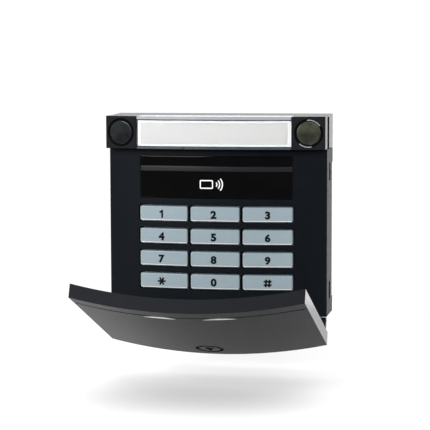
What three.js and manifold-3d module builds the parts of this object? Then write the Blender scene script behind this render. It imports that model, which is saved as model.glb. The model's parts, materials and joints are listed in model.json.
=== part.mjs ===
// Wall-mounted alarm keypad panel: a bowed housing with twelve keys and a glossy reader window,
// a control segment with two round buttons and a label strip on top, and a hinged front flap.
// Millimetres, +Z up. The origin is the centre of the rear face that lies against the wall,
// which is the plane y = 0, and the front of the panel looks along -Y.
import * as THREE from "three";
import { mergeVertices } from "three/addons/utils/BufferGeometryUtils.js";
import Module from "manifold-3d";

const wasm = await Module();
wasm.setup();

// ---------------------------------------------------------------- driving dimensions
const HALF_WIDTH = 51;
const GAP = 0.3; // air left between neighbouring pieces

// Every front is bowed about a vertical axis: BOW is how far its middle stands out
// in front of its side edges, and a "depth" is the distance from the wall at those edges.
const BOW = 5.8;
const BOW_RADIUS = (HALF_WIDTH ** 2 + BOW ** 2) / (2 * BOW);
const BOW_STEPS = 16; // flats that a full-width bowed surface is drawn with

const CORNER_STEPS = 2; // flats in a rounded corner

const SEGMENT_TOP = 48;
const SEGMENT_BOTTOM = 33;
const SEGMENT_DEPTH = 27.2;
const SEGMENT_FRONT_BACK_Y = -19.8; // back of the front moulding, which is also its side lip
const SEGMENT_BASE_FRONT_Y = -13.4; // front of the full-width part of the segment's base
const SEGMENT_BASE_FLOOR = 2;
const SEGMENT_BASE_TOP = SEGMENT_TOP + 0.4; // the base stands a little above the front moulding

const BODY_TOP = SEGMENT_BOTTOM - GAP;
const BODY_BOTTOM = -44.3;
const BODY_DEPTH = 20.5;
const BODY_BACK_Y = -2.3;
const WALL = 2;

const PLATE_THICKNESS = 2;

const FLAP_TOP = 32.5;
const FLAP_BOTTOM = -48;
const FLAP_THICKNESS = 6.2;
const FLAP_SKIN = 2.4;
const FLAP_RIM = 2.4;
const GROOVE_DROP = 8.2; // from the flap's free edge down to the finger groove across its face
const GROOVE_WIDTH = 1.2;
const GROOVE_DEPTH = 0.4;
const FLAP_OPEN_DEG = 67.8;
const HINGE_Y = -15.9;
const HINGE_Z = -46.6;
const KNUCKLE_RADIUS = 1.4;
const PIN_RADIUS = 0.55;
const PIN_BORE = 0.8;
const ARM_INNER_X = 43.8;
const ARM_OUTER_X = 50.3;
const LUG_INNER_X = 39.3;
const LUG_OUTER_X = 43.3;

const WINDOW_HALF_WIDTH = 35.6;
const WINDOW_TOP = 29.5;
const WINDOW_BOTTOM = 10.1;
const WINDOW_RIB_TOP = 24.9;
const WINDOW_RIB_BOTTOM = 22.5;

const KEY_WIDTH = 22.9;
const KEY_HEIGHT = 6.8;
const KEY_PITCH_X = 24.33;
const KEY_PITCH_Z = 10.45;
const KEY_TOP_ROW_Z = 2.95;
const KEY_PROUD = 0.4;
const KEY_CORNER = 0.8;
const KEY_TRAVEL = 0.8;
const KEY_ROWS = [
  ["1", "2", "3"],
  ["4", "5", "6"],
  ["7", "8", "9"],
  ["star", "0", "hash"],
];

const PCB_BACK_Y = -7.4;
const PCB_FRONT_Y = -9;
const MEMBRANE_FRONT_Y = -10.3;
const DOME_TOP_Y = -12;
const BOSS_X = 41;
const BOSS_Z = [26, -38];

const BUTTON_X = 43.6;
const BUTTON_Z = (SEGMENT_TOP + SEGMENT_BOTTOM) / 2;
const BUTTON_RADIUS = 5.4;
const BUTTON_BORE = 5.7;
const BUTTON_RING = 6.3; // outer radius of the shallow ring sunk round a button
const BUTTON_RING_DEPTH = 0.6;
const BUTTON_FLANGE = 6.5;
const BUTTON_FLANGE_Y = -25.4;
const BUTTON_TRAVEL = 0.8;
const COVER_HALF_WIDTH = 35.8;
const COVER_WALL = 1;
const LABEL_THICKNESS = 0.5;
const LABEL_HALF_WIDTH = 35.4;
const LABEL_TOP = SEGMENT_TOP - 2;
const LABEL_BOTTOM = SEGMENT_BOTTOM + COVER_WALL + GAP;

const SEGMENT_PCB_BACK_Y = -8;
const SEGMENT_PCB_FRONT_Y = -9.2;
const SEGMENT_POST_X = 30;

const SNAP_Z = [22, -33]; // heights of the side windows where the housing snaps on
const SNAP_HALF_HEIGHT = 4;
const CABLE_HALF_WIDTH = 13;
const CABLE_BOTTOM = 4;
const CABLE_TOP = 18;
const LOCK_SCREW_Y = -6.5;
const TAMPER_X = 30;
const TAMPER_Z = -8;

// ---------------------------------------------------------------- materials
const material = (color, roughness, metalness = 0, extra = {}) =>
  new THREE.MeshStandardMaterial({ color, roughness, metalness, ...extra });
const ANTHRACITE = material(0x1f2124, 0.45);
const ANTHRACITE_GLOSS = material(0x1c1d20, 0.2);
const REAR_PLASTIC = material(0x2a2b2e, 0.6);
const WINDOW_BLACK = material(0x050506, 0.08);
const KEY_GREY = material(0xa3b4bd, 0.35);
const SMOKED = material(0x343a34, 0.15);
const CLEAR = material(0xe4eaec, 0.05, 0, { transparent: true, opacity: 0.3 });
const LABEL_WHITE = material(0xe6e7e5, 0.6);
const BOARD_GREEN = material(0x1d4f36, 0.5);
const SILICONE = material(0xc9ccce, 0.7);
const COPPER = material(0xb87333, 0.35, 1);
const CHIP_BLACK = material(0x17181a, 0.5);
const TERMINAL_GREEN = material(0x2f7d4b, 0.5);
const STEEL = material(0xb5b8bb, 0.3, 1);
const LED_LENS = material(0xf2f1e6, 0.2);

// ---------------------------------------------------------------- solids
const solidOf = (geometry) => {
  geometry.deleteAttribute("normal");
  geometry.deleteAttribute("uv");
  const merged = mergeVertices(geometry, 1e-4);
  return new wasm.Manifold(
    new wasm.Mesh({
      numProp: 3,
      vertProperties: new Float32Array(merged.attributes.position.array),
      triVerts: new Uint32Array(merged.index.array),
    }),
  );
};

const geometryOf = (solid) => {
  const mesh = solid.getMesh();
  const geometry = new THREE.BufferGeometry();
  geometry.setAttribute("position", new THREE.BufferAttribute(mesh.vertProperties, 3));
  geometry.setIndex(new THREE.BufferAttribute(mesh.triVerts, 1));
  geometry.computeVertexNormals();
  return geometry;
};

const join = (solids) => solids.reduce((all, next) => all.add(next));
const cut = (solid, tools) => tools.reduce((left, tool) => left.subtract(tool), solid);

/** A box given by its two ends along each axis. */
const block = (x0, x1, y0, y1, z0, z1) => {
  const geometry = new THREE.BoxGeometry(Math.abs(x1 - x0), Math.abs(y1 - y0), Math.abs(z1 - z0));
  geometry.translate((x0 + x1) / 2, (y0 + y1) / 2, (z0 + z1) / 2);
  return solidOf(geometry);
};

/** A round bar along Y, from y0 to y1, whose radius may differ at its two ends. */
const rodY = (x, z, y0, y1, radius0, radius1 = radius0, sides = 16) => {
  const geometry = new THREE.CylinderGeometry(radius1, radius0, Math.abs(y1 - y0), sides);
  if (y1 < y0) geometry.rotateX(Math.PI);
  geometry.translate(x, (y0 + y1) / 2, z);
  return solidOf(geometry);
};

/** A round bar along X. */
const rodX = (x0, x1, y, z, radius, sides = 14) => {
  const geometry = new THREE.CylinderGeometry(radius, radius, Math.abs(x1 - x0), sides);
  geometry.rotateZ(Math.PI / 2);
  geometry.translate((x0 + x1) / 2, y, z);
  return solidOf(geometry);
};

/** A round bar along Z. */
const rodZ = (x, y, z0, z1, radius, sides = 16) => {
  const geometry = new THREE.CylinderGeometry(radius, radius, Math.abs(z1 - z0), sides);
  geometry.rotateX(Math.PI / 2);
  geometry.translate(x, y, (z0 + z1) / 2);
  return solidOf(geometry);
};

/** Where the bowed surface of the given edge depth lies at x. */
const bowedY = (x, depth) =>
  -(depth + Math.sqrt(BOW_RADIUS ** 2 - x ** 2) - (BOW_RADIUS - BOW));

/** Points along a bowed surface from x0 to x1. */
const bowedLine = (x0, x1, depth) => {
  const steps = Math.max(2, Math.ceil((BOW_STEPS * Math.abs(x1 - x0)) / (2 * HALF_WIDTH)));
  return Array.from({ length: steps + 1 }, (_, i) => {
    const x = x0 + ((x1 - x0) * i) / steps;
    return new THREE.Vector2(x, bowedY(x, depth));
  });
};

const standing = (outline, z0, z1) => {
  const geometry = new THREE.ExtrudeGeometry(new THREE.Shape(outline), {
    depth: z1 - z0,
    bevelEnabled: false,
  });
  geometry.translate(0, 0, z0);
  return solidOf(geometry);
};

/** A solid with a bowed front of the given edge depth and a flat back. */
const bowedBlock = (x0, x1, z0, z1, depth, backY) =>
  standing(
    [...bowedLine(x0, x1, depth), new THREE.Vector2(x1, backY), new THREE.Vector2(x0, backY)],
    z0,
    z1,
  );

/** A bowed plate of even thickness. */
const bowedPlate = (x0, x1, z0, z1, depth, thickness) =>
  standing([...bowedLine(x0, x1, depth), ...bowedLine(x1, x0, depth - thickness)], z0, z1);

/** A bar along Y with a rounded-rectangle section in X and Z. */
const roundedBar = (x0, x1, z0, z1, corner, y0, y1) => {
  const shape = new THREE.Shape();
  shape.moveTo(x0 + corner, z0);
  shape.lineTo(x1 - corner, z0);
  shape.absarc(x1 - corner, z0 + corner, corner, -Math.PI / 2, 0);
  shape.absarc(x1 - corner, z1 - corner, corner, 0, Math.PI / 2);
  shape.absarc(x0 + corner, z1 - corner, corner, Math.PI / 2, Math.PI);
  shape.absarc(x0 + corner, z0 + corner, corner, Math.PI, (3 * Math.PI) / 2);
  const geometry = new THREE.ExtrudeGeometry(shape, {
    depth: Math.abs(y1 - y0),
    bevelEnabled: false,
    curveSegments: CORNER_STEPS,
  });
  geometry.rotateX(Math.PI / 2);
  geometry.translate(0, Math.max(y0, y1), 0);
  return solidOf(geometry);
};

/** A slotted pan-head screw along Y: its head's back face is at headY and its shank runs to tipY. */
const screwY = (x, z, headY, headThickness, headRadius, shankRadius, tipY) => {
  const forward = Math.sign(tipY - headY);
  const seat = headY + forward * headThickness;
  const head = rodY(x, z, headY, seat, headRadius * 0.8, headRadius);
  const shank = rodY(x, z, seat - forward * 0.2, tipY, shankRadius, shankRadius, 10);
  const slotHalf = headRadius * 0.55;
  const slot = block(
    x - slotHalf,
    x + slotHalf,
    headY - forward,
    headY + (forward * headThickness) / 2,
    z - 0.35,
    z + 0.35,
  );
  return cut(join([head, shank]), [slot]);
};

const bothSides = (make) => [-1, 1].map(make);
const keyX = (column) => (column - 1) * KEY_PITCH_X;
const keyZ = (row) => KEY_TOP_ROW_Z - row * KEY_PITCH_Z;

// ---------------------------------------------------------------- body
/** The plate that is screwed to the wall: slots, cable entry, locating rim, snap hooks, lock tab. */
function wallPlate() {
  const rimX = HALF_WIDTH - WALL - 0.4;
  const rimBottom = BODY_BOTTOM + WALL + 0.4;
  const rimTop = BODY_TOP - WALL - 0.4;
  const rimWall = 1.2;
  const rim = cut(block(-rimX, rimX, -5, -1, rimBottom, rimTop), [
    block(-rimX + rimWall, rimX - rimWall, -6, 0, rimBottom + rimWall, rimTop - rimWall),
  ]);
  const hooks = bothSides((side) =>
    SNAP_Z.map((z) =>
      join([
        block(side * (rimX - 1.4), side * rimX, -12.1, -1, z - 3, z + 3),
        block(side * (rimX - 0.5), side * (HALF_WIDTH - 0.8), -12, -9.1, z - 3, z + 3),
      ]),
    ),
  ).flat();
  const lockTab = block(-4, 4, -9.6, -1, BODY_BOTTOM + 2.4, BODY_BOTTOM + 6.4);
  const ties = bothSides((side) => block(side * 17, side * 19, -4.6, -1, 8, 14));
  const sideReliefs = bothSides((side) =>
    block(
      side * (HALF_WIDTH - 1),
      side * (HALF_WIDTH + 1),
      -3,
      1,
      SNAP_Z[1] - SNAP_HALF_HEIGHT,
      SNAP_Z[0] + SNAP_HALF_HEIGHT,
    ),
  );
  const wallSlots = bothSides((side) =>
    [23, -27].map((z) => roundedBar(side * 33 - 4.5, side * 33 + 4.5, z - 1.9, z + 1.9, 1.89, -3, 1)),
  ).flat();
  return cut(
    join([
      block(-HALF_WIDTH, HALF_WIDTH, -PLATE_THICKNESS, 0, BODY_BOTTOM, BODY_TOP),
      rim,
      ...hooks,
      lockTab,
      ...ties,
    ]),
    [
      ...sideReliefs,
      ...wallSlots,
      block(-CABLE_HALF_WIDTH, CABLE_HALF_WIDTH, -3, 1, CABLE_BOTTOM, CABLE_TOP),
      rodY(TAMPER_X, TAMPER_Z, -3, 1, 2.1),
      rodZ(0, LOCK_SCREW_Y, BODY_BOTTOM, BODY_BOTTOM + 8, 1.2, 16),
    ],
  );
}

/** The front housing: a bowed shell, open at the back, with its holes, screw bosses and hinge lugs. */
function frontHousing() {
  const shell = cut(bowedBlock(-HALF_WIDTH, HALF_WIDTH, BODY_BOTTOM, BODY_TOP, BODY_DEPTH, BODY_BACK_Y), [
    bowedBlock(
      -HALF_WIDTH + WALL,
      HALF_WIDTH - WALL,
      BODY_BOTTOM + WALL,
      BODY_TOP - WALL,
      BODY_DEPTH - WALL,
      0,
    ),
  ]);
  const bosses = bothSides((side) =>
    BOSS_Z.map((z) => rodY(side * BOSS_X, z, PCB_FRONT_Y - GAP, bowedY(BOSS_X, BODY_DEPTH - 1), 2.6)),
  ).flat();
  const pilots = bothSides((side) => BOSS_Z.map((z) => rodY(side * BOSS_X, z, -8, -17, 1.1, 1.1, 10))).flat();
  const lugs = bothSides((side) =>
    block(
      side * LUG_INNER_X,
      side * LUG_OUTER_X,
      HINGE_Y - 2.4,
      HINGE_Y + 2.4,
      HINGE_Z - 1.3,
      BODY_BOTTOM + 1,
    ),
  );
  const pinBores = bothSides((side) =>
    rodX(side * (LUG_INNER_X - 1), side * (LUG_OUTER_X + 1), HINGE_Y, HINGE_Z, PIN_BORE),
  );
  const keyHoles = KEY_ROWS.flatMap((row, r) =>
    row.map((_, c) =>
      roundedBar(
        keyX(c) - KEY_WIDTH / 2 - GAP,
        keyX(c) + KEY_WIDTH / 2 + GAP,
        keyZ(r) - KEY_HEIGHT / 2 - GAP,
        keyZ(r) + KEY_HEIGHT / 2 + GAP,
        KEY_CORNER + GAP,
        -15,
        -30,
      ),
    ),
  );
  const snapWindows = bothSides((side) =>
    SNAP_Z.map((z) =>
      block(
        side * (HALF_WIDTH - 3),
        side * (HALF_WIDTH + 1),
        -12.5,
        -8.5,
        z - SNAP_HALF_HEIGHT,
        z + SNAP_HALF_HEIGHT,
      ),
    ),
  ).flat();
  const tongueNotches = bothSides((side) =>
    block(side * (SEGMENT_POST_X - 4), side * (SEGMENT_POST_X + 4), -7.1, -1, BODY_TOP - 3, BODY_TOP + 1),
  );
  return cut(join([shell, ...bosses, ...lugs]), [
    ...pilots,
    ...pinBores,
    ...keyHoles,
    ...snapWindows,
    ...tongueNotches,
    block(-WINDOW_HALF_WIDTH - GAP, WINDOW_HALF_WIDTH + GAP, -10, -30, WINDOW_BOTTOM - GAP, WINDOW_TOP + GAP),
    block(-8, 8, -13.1, -9, BODY_TOP - 3, BODY_TOP + 1),
    rodZ(0, LOCK_SCREW_Y, BODY_BOTTOM - 1, BODY_BOTTOM + 3, 1.5, 16),
    rodZ(0, LOCK_SCREW_Y, BODY_BOTTOM - 1, BODY_BOTTOM + 1.2, 2.7),
  ]);
}

/** The glossy reader window, with its raised rib and the flange that holds it from behind. */
function windowPanel() {
  const flange = 2;
  return join([
    bowedPlate(-WINDOW_HALF_WIDTH, WINDOW_HALF_WIDTH, WINDOW_BOTTOM, WINDOW_TOP, BODY_DEPTH - 0.1, 2.6),
    bowedPlate(
      -WINDOW_HALF_WIDTH,
      WINDOW_HALF_WIDTH,
      WINDOW_RIB_BOTTOM,
      WINDOW_RIB_TOP,
      BODY_DEPTH + 0.6,
      1.5,
    ),
    bowedPlate(
      -WINDOW_HALF_WIDTH - flange,
      WINDOW_HALF_WIDTH + flange,
      WINDOW_BOTTOM - 0.9,
      WINDOW_TOP + 0.9,
      BODY_DEPTH - WALL - GAP,
      1.2,
    ),
  ]);
}

/** One key: a bowed cap, a flange behind the housing and a stem that reaches to its dome. */
function key(row, column) {
  const x = keyX(column);
  const z = keyZ(row);
  const halfWidth = KEY_WIDTH / 2;
  const halfHeight = KEY_HEIGHT / 2;
  const stemEndY = DOME_TOP_Y - KEY_TRAVEL - 0.2;
  const capBack = 3.1;
  const cap = bowedPlate(
    x - halfWidth,
    x + halfWidth,
    z - halfHeight,
    z + halfHeight,
    BODY_DEPTH + KEY_PROUD,
    KEY_PROUD + capBack,
  ).intersect(
    roundedBar(x - halfWidth, x + halfWidth, z - halfHeight, z + halfHeight, KEY_CORNER, -15, -30),
  );
  const flange = bowedPlate(
    x - halfWidth,
    x + halfWidth,
    z - halfHeight - 0.9,
    z + halfHeight + 0.9,
    BODY_DEPTH - WALL - GAP,
    0.8,
  );
  const stem = block(x - 3, x + 3, stemEndY, bowedY(x, BODY_DEPTH - capBack) - 0.5, z - 2, z + 2);
  return join([cap, flange, stem]);
}

/** The silicone sheet with a switch dome under each key. */
function keypadMembrane() {
  const domes = KEY_ROWS.flatMap((row, r) =>
    row.map((_, c) => rodY(keyX(c), keyZ(r), MEMBRANE_FRONT_Y + 0.5, DOME_TOP_Y, 2.8, 2, 10)),
  );
  return join([block(-38, 38, PCB_FRONT_Y - GAP, MEMBRANE_FRONT_Y, keyZ(3) - 5, keyZ(0) + 5), ...domes]);
}

/** The main circuit board, notched round the lock tab. */
function mainBoard() {
  return cut(block(-46.2, 46.2, PCB_FRONT_Y, PCB_BACK_Y, -41.5, 29.5), [
    ...bothSides((side) => BOSS_Z.map((z) => rodY(side * BOSS_X, z, -10, -7, 1.4, 1.4, 10))).flat(),
    block(-6, 6, -10, -7, -43, -37),
    ...bothSides((side) => block(side * (SEGMENT_POST_X - 5), side * (SEGMENT_POST_X + 5), -10, -7, 28, 31)),
  ]);
}

/** The flat rectangular aerial of the tag reader, behind the window. */
function readerAerial() {
  const y0 = PCB_FRONT_Y - 0.9;
  const y1 = PCB_FRONT_Y - GAP;
  const outer = roundedBar(-33, 33, 11, 24.5, 2.5, y0, y1);
  return cut(outer, [roundedBar(-30, 30, 14, 21.5, 1.5, y0 - 1, y1 + 1)]);
}

function microcontroller() {
  const body = block(17, 27, PCB_BACK_Y + GAP, PCB_BACK_Y + 1.7, -28, -18);
  return cut(body, [rodY(18.4, -19.4, PCB_BACK_Y + 1.4, PCB_BACK_Y + 2, 0.6, 0.6, 12)]);
}

function buzzer() {
  const y0 = PCB_BACK_Y + GAP;
  return cut(rodY(-24, -18, y0, y0 + 4.4, 6.2, 6.2, 32), [rodY(-24, -18, y0 + 3.4, y0 + 5, 1.1, 1.1, 16)]);
}

/** The four-way terminal block that the bus cable is clamped in. */
function terminalBlock() {
  const y0 = PCB_BACK_Y + GAP;
  const wires = [-7.5, -2.5, 2.5, 7.5];
  return cut(block(-10.4, 10.4, y0, y0 + 4.6, 20, 27), [
    ...wires.map((x) => block(x - 1.3, x + 1.3, y0 + 1, y0 + 3.4, 19, 23)),
    ...wires.map((x) => rodY(x, 24.8, y0 + 3.4, y0 + 5, 1.3, 1.3, 12)),
  ]);
}

/** The board-to-board connector between the main board and the control segment. */
function segmentConnector() {
  const contacts = [-4.5, -1.5, 1.5, 4.5];
  return cut(
    block(-6.5, 6.5, -12.5, PCB_FRONT_Y - 0.5, 26, 39),
    contacts.map((x) => block(x - 0.4, x + 0.4, -13, -12, 27, 38)),
  );
}

function tamperSwitch() {
  const y0 = PCB_BACK_Y + GAP;
  const body = block(TAMPER_X - 3.5, TAMPER_X + 3.5, y0, y0 + 2.9, TAMPER_Z - 3.5, TAMPER_Z + 3.5);
  return cut(body, [rodY(TAMPER_X, TAMPER_Z, y0 + 0.8, y0 + 4, 1.7, 1.7, 20)]);
}

/** The tamper plunger: it reaches through the wall plate and rests against the wall. */
function tamperPlunger() {
  const y0 = PCB_BACK_Y + GAP;
  return rodY(TAMPER_X, TAMPER_Z, y0 + 2.1, -0.2, 1.3, 1.2, 20);
}

function lockScrew() {
  const screw = screwY(0, 0, 0, 1.5, 2.4, 0.9, 7.4);
  return screw.rotate([90, 0, 0]).translate([0, LOCK_SCREW_Y, BODY_BOTTOM - 0.6]);
}

// ---------------------------------------------------------------- control segment
/** The segment's rear case: full width at the wall, a narrower neck in front of it. */
function segmentBase() {
  const x = HALF_WIDTH;
  const neck = 1.5;
  const floorY = -SEGMENT_BASE_FLOOR;
  const body = join([
    block(-x, x, SEGMENT_BASE_FRONT_Y, 0, SEGMENT_BOTTOM, SEGMENT_BASE_TOP),
    block(
      -x + neck,
      x - neck,
      SEGMENT_FRONT_BACK_Y + GAP,
      SEGMENT_BASE_FRONT_Y + 1,
      SEGMENT_BOTTOM + neck,
      SEGMENT_TOP - neck,
    ),
  ]);
  const hollow = block(-x + 3.2, x - 3.2, -25, floorY, SEGMENT_BOTTOM + 2.8, SEGMENT_TOP - 2.8);
  const posts = bothSides((side) => rodY(side * SEGMENT_POST_X, BUTTON_Z, -1, SEGMENT_PCB_BACK_Y + GAP, 2));
  const pilots = bothSides((side) => rodY(side * SEGMENT_POST_X, BUTTON_Z, -3.5, -10, 0.8, 0.8, 10));
  const tongues = bothSides((side) =>
    block(side * (SEGMENT_POST_X - 3.5), side * (SEGMENT_POST_X + 3.5), -6.7, -5.4, 28.6, SEGMENT_BOTTOM + 1),
  );
  const wallSlots = bothSides((side) =>
    roundedBar(side * 17 - 4, side * 17 + 4, BUTTON_Z - 1.9, BUTTON_Z + 1.9, 1.89, -3, 1),
  );
  return cut(join([cut(body, [hollow]), ...posts, ...tongues]), [
    ...pilots,
    ...wallSlots,
    block(-8, 8, -13.1, -9, SEGMENT_BOTTOM - 1, SEGMENT_BOTTOM + 4),
  ]);
}

/** A round bar along Y in the middle of one button block. */
const buttonRod = (side, y0, y1, radius, sides = 28) =>
  rodY(side * BUTTON_X, BUTTON_Z, y0, y1, radius, radius, sides);

/** The dark front moulding: a button block at each end and a recessed bed for the label between. */
function segmentFront() {
  const bed = SEGMENT_DEPTH - COVER_WALL - LABEL_THICKNESS - 3 * GAP;
  const bedX = COVER_HALF_WIDTH + GAP;
  const rebate = COVER_WALL + GAP;
  const whole = bowedBlock(
    -HALF_WIDTH,
    HALF_WIDTH,
    SEGMENT_BOTTOM,
    SEGMENT_TOP,
    SEGMENT_DEPTH,
    SEGMENT_FRONT_BACK_Y,
  );
  const bores = bothSides((side) => buttonRod(side, -18, -34, BUTTON_BORE));
  const rings = bothSides((side) =>
    buttonRod(side, -18, -34, BUTTON_RING).intersect(
      bowedPlate(
        -HALF_WIDTH,
        HALF_WIDTH,
        SEGMENT_BOTTOM,
        SEGMENT_TOP,
        SEGMENT_DEPTH + 2,
        2 + BUTTON_RING_DEPTH,
      ),
    ),
  );
  const flangePockets = bothSides((side) => buttonRod(side, -18, BUTTON_FLANGE_Y - GAP, BUTTON_FLANGE + 0.4));
  return cut(whole, [
    bowedPlate(-bedX, bedX, SEGMENT_BOTTOM - 1, SEGMENT_TOP + 1, SEGMENT_DEPTH + 2, SEGMENT_DEPTH + 2 - bed),
    block(-bedX, bedX, -34, SEGMENT_FRONT_BACK_Y + 1, SEGMENT_TOP - rebate, SEGMENT_TOP + 1),
    block(-bedX, bedX, -34, SEGMENT_FRONT_BACK_Y + 1, SEGMENT_BOTTOM - 1, SEGMENT_BOTTOM + rebate),
    bowedBlock(-33, 33, SEGMENT_BOTTOM + 3.5, SEGMENT_TOP - 3.5, bed - 1.5, -18),
    ...bores,
    ...rings,
    ...flangePockets,
  ]);
}

/** The clear cover over the label: a bowed front with a lip along its top and its bottom. */
function clearCover() {
  const outer = bowedBlock(
    -COVER_HALF_WIDTH,
    COVER_HALF_WIDTH,
    SEGMENT_BOTTOM,
    SEGMENT_TOP,
    SEGMENT_DEPTH,
    SEGMENT_FRONT_BACK_Y,
  );
  return cut(outer, [
    bowedBlock(
      -COVER_HALF_WIDTH - 1,
      COVER_HALF_WIDTH + 1,
      SEGMENT_BOTTOM + COVER_WALL,
      SEGMENT_TOP - COVER_WALL,
      SEGMENT_DEPTH - COVER_WALL,
      -18,
    ),
  ]);
}

function labelStrip() {
  const depth = SEGMENT_DEPTH - COVER_WALL - GAP;
  return bowedPlate(
    -LABEL_HALF_WIDTH,
    LABEL_HALF_WIDTH,
    LABEL_BOTTOM,
    LABEL_TOP,
    depth,
    LABEL_THICKNESS,
  );
}

function segmentBoard() {
  return cut(block(-46.8, 46.8, SEGMENT_PCB_FRONT_Y, SEGMENT_PCB_BACK_Y, 36.2, 44.8), [
    ...bothSides((side) => rodY(side * SEGMENT_POST_X, BUTTON_Z, -10, -7, 1, 1, 10)),
  ]);
}

const switchTopY = SEGMENT_PCB_FRONT_Y - GAP - 5;

/** A push switch on the segment's board, behind one round button. */
function buttonSwitch(side) {
  const y0 = SEGMENT_PCB_FRONT_Y - GAP;
  const x = side * BUTTON_X;
  return join([
    block(x - 3, x + 3, y0 - 3.6, y0, BUTTON_Z - 3, BUTTON_Z + 3),
    rodY(x, BUTTON_Z, y0 - 3.4, switchTopY, 1.7, 1.7, 20),
  ]);
}

/** One round button: its face follows the bowed front, and a flange holds it in from behind. */
function roundButton(side) {
  const cap = buttonRod(side, BUTTON_FLANGE_Y, -34, BUTTON_RADIUS).intersect(
    bowedBlock(-HALF_WIDTH, HALF_WIDTH, SEGMENT_BOTTOM, SEGMENT_TOP, SEGMENT_DEPTH, -20),
  );
  return join([
    cap,
    buttonRod(side, BUTTON_FLANGE_Y + 1, BUTTON_FLANGE_Y, BUTTON_FLANGE),
    buttonRod(side, switchTopY - BUTTON_TRAVEL - 0.2, BUTTON_FLANGE_Y - 0.5, 2, 12),
  ]);
}

function statusLed(side) {
  const x = side * 36.5;
  const y0 = SEGMENT_PCB_FRONT_Y - GAP;
  return block(x - 1.6, x + 1.6, y0 - 1.2, y0, BUTTON_Z - 0.8, BUTTON_Z + 0.8);
}

// ---------------------------------------------------------------- flap
/** The flap, closed: a bowed tray whose rim faces the housing, hinge arms at its foot, a finger groove. */
function flapCover() {
  const outer = bowedPlate(
    -HALF_WIDTH,
    HALF_WIDTH,
    FLAP_BOTTOM,
    FLAP_TOP,
    SEGMENT_DEPTH,
    FLAP_THICKNESS,
  );
  const tray = cut(outer, [
    bowedPlate(
      -HALF_WIDTH + FLAP_RIM,
      HALF_WIDTH - FLAP_RIM,
      FLAP_BOTTOM + FLAP_RIM,
      FLAP_TOP - FLAP_RIM,
      SEGMENT_DEPTH - FLAP_SKIN,
      FLAP_THICKNESS,
    ),
    bowedPlate(
      -HALF_WIDTH + 1,
      HALF_WIDTH - 1,
      FLAP_TOP - GROOVE_DROP - GROOVE_WIDTH,
      FLAP_TOP - GROOVE_DROP,
      SEGMENT_DEPTH + 1,
      1 + GROOVE_DEPTH,
    ),
  ]);
  const arms = bothSides((side) =>
    join([
      block(side * ARM_INNER_X, side * ARM_OUTER_X, -23, HINGE_Y, FLAP_BOTTOM, HINGE_Z + KNUCKLE_RADIUS),
      rodX(side * ARM_INNER_X, side * ARM_OUTER_X, HINGE_Y, HINGE_Z, KNUCKLE_RADIUS),
    ]),
  );
  const bores = bothSides((side) =>
    rodX(side * (ARM_INNER_X - 1), side * (ARM_OUTER_X + 1), HINGE_Y, HINGE_Z, PIN_BORE),
  );
  return cut(join([tray, ...arms]), bores);
}

const hingePin = (side) =>
  rodX(side * (LUG_INNER_X + 0.2), side * (ARM_OUTER_X - 0.3), HINGE_Y, HINGE_Z, PIN_RADIUS);

// ---------------------------------------------------------------- assembly
const panel = new THREE.Group();
const body = new THREE.Group();
const segment = new THREE.Group();
const flap = new THREE.Group();
panel.add(body, segment, flap);

function place(name, solid, look, group) {
  const mesh = new THREE.Mesh(geometryOf(solid), look);
  mesh.name = name;
  group.add(mesh);
  return mesh;
}

place("wall_plate", wallPlate(), REAR_PLASTIC, body);
place("front_housing", frontHousing(), ANTHRACITE, body);
place("window_panel", windowPanel(), WINDOW_BLACK, body);
place("main_board", mainBoard(), BOARD_GREEN, body);
place("keypad_membrane", keypadMembrane(), SILICONE, body);
place("reader_aerial", readerAerial(), COPPER, body);
place("microcontroller", microcontroller(), CHIP_BLACK, body);
place("buzzer", buzzer(), CHIP_BLACK, body);
place("terminal_block", terminalBlock(), TERMINAL_GREEN, body);
place("segment_connector", segmentConnector(), CHIP_BLACK, body);
place("tamper_switch", tamperSwitch(), CHIP_BLACK, body);
place("tamper_plunger", tamperPlunger(), LABEL_WHITE, body);
place("lock_screw", lockScrew(), STEEL, body);

KEY_ROWS.forEach((row, r) => {
  row.forEach((name, c) => place(`key_${name}`, key(r, c), KEY_GREY, body));
});

const boardScrewHeadY = PCB_BACK_Y + GAP + 1.5;
["top", "bottom"].forEach((height, i) => {
  ["left", "right"].forEach((hand, j) => {
    const x = (2 * j - 1) * BOSS_X;
    const screw = screwY(x, BOSS_Z[i], boardScrewHeadY, 1.5, 2.4, 0.8, -14);
    place(`board_screw_${height}_${hand}`, screw, STEEL, body);
  });
});

place("segment_base", segmentBase(), ANTHRACITE_GLOSS, segment);
place("segment_front", segmentFront(), ANTHRACITE_GLOSS, segment);
place("clear_cover", clearCover(), CLEAR, segment);
place("label_strip", labelStrip(), LABEL_WHITE, segment);
place("segment_board", segmentBoard(), BOARD_GREEN, segment);
[
  ["left", -1],
  ["right", 1],
].forEach(([hand, side]) => {
  place(`button_${hand}`, roundButton(side), SMOKED, segment);
  place(`button_switch_${hand}`, buttonSwitch(side), CHIP_BLACK, segment);
  place(`status_led_${hand}`, statusLed(side), LED_LENS, segment);
  const headY = SEGMENT_PCB_FRONT_Y - GAP - 1.2;
  const screw = screwY(side * SEGMENT_POST_X, BUTTON_Z, headY, 1.2, 1.8, 0.55, -4.5);
  place(`segment_screw_${hand}`, screw, STEEL, segment);
  place(`hinge_pin_${hand}`, hingePin(side), STEEL, body);
});

// The flap is drawn closed and stands open, turned about its hinge pins.
flap.position.set(0, HINGE_Y, HINGE_Z);
flap.rotation.x = THREE.MathUtils.degToRad(FLAP_OPEN_DEG);
place("flap_cover", flapCover().translate([0, -HINGE_Y, -HINGE_Z]), ANTHRACITE_GLOSS, flap);

export default panel;
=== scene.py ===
"""Looks of the alarm keypad panel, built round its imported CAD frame. Metres, +Z up, the wall is y = 0."""

import json
import math

import bmesh
import bpy
from mathutils import Matrix, Vector


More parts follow.
